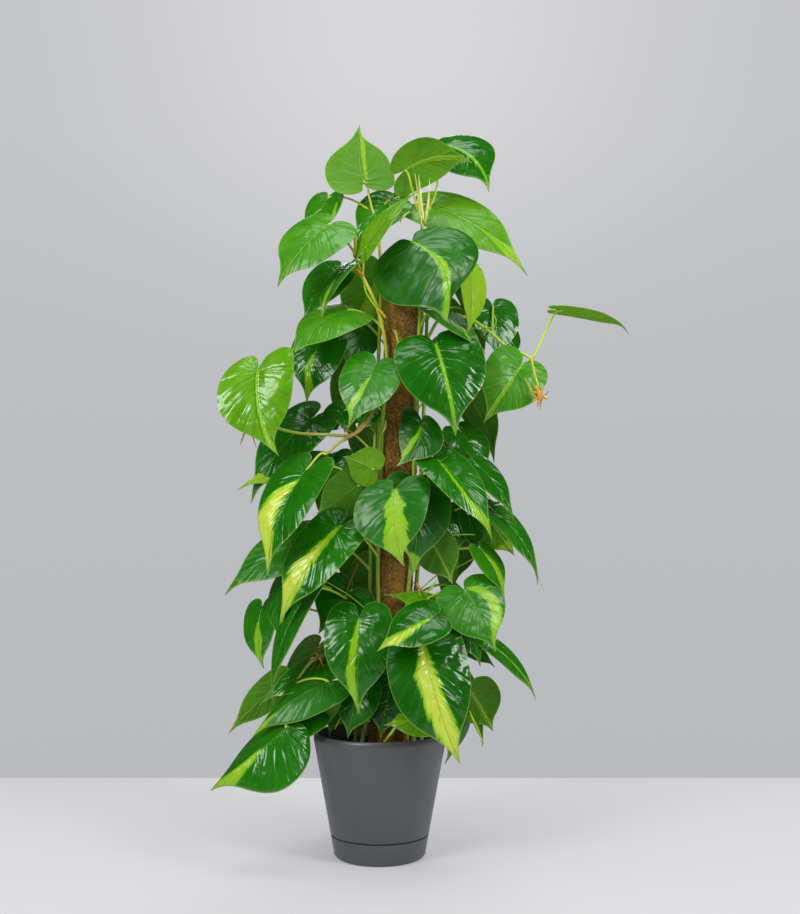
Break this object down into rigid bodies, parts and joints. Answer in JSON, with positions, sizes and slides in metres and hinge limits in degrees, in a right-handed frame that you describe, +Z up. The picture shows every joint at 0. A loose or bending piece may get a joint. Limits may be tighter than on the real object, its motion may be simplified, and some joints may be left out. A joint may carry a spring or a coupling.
{
  "type": "potted brasil philodendron",
  "caption": "Climbing plant with heart-shaped green and lime leaves on a coir pole, in a tapered dark grey pot with a flush saucer.",
  "frame": {"origin": "middle of the saucer's flat underside, on the surface the plant stands on", "axes": "+Z up along the plant, -Y the front that the picture shows, +X to the viewer's right"},
  "size_m": [0.5438, 0.2794, 0.967],
  "materials": {
    "pot_plastic": "satin moulded",
    "saucer_plastic": "satin moulded",
    "potting_mix": "crumbly",
    "stake_wood": "sawn",
    "coir": "coarse fibre",
    "foliage": "glossy living leaf"
  },
  "bodies": {
    "root": {"saucer": "saucer_plastic", "pot": "pot_plastic", "soil": "potting_mix", "pole_core": "stake_wood", "coir_sleeve": "coir", "vine_front_left": "foliage", "vine_front_right": "foliage", "vine_left": "foliage", "vine_right": "foliage", "vine_back_left": "foliage", "vine_back_right": "foliage"}
  },
  "joints": []
}
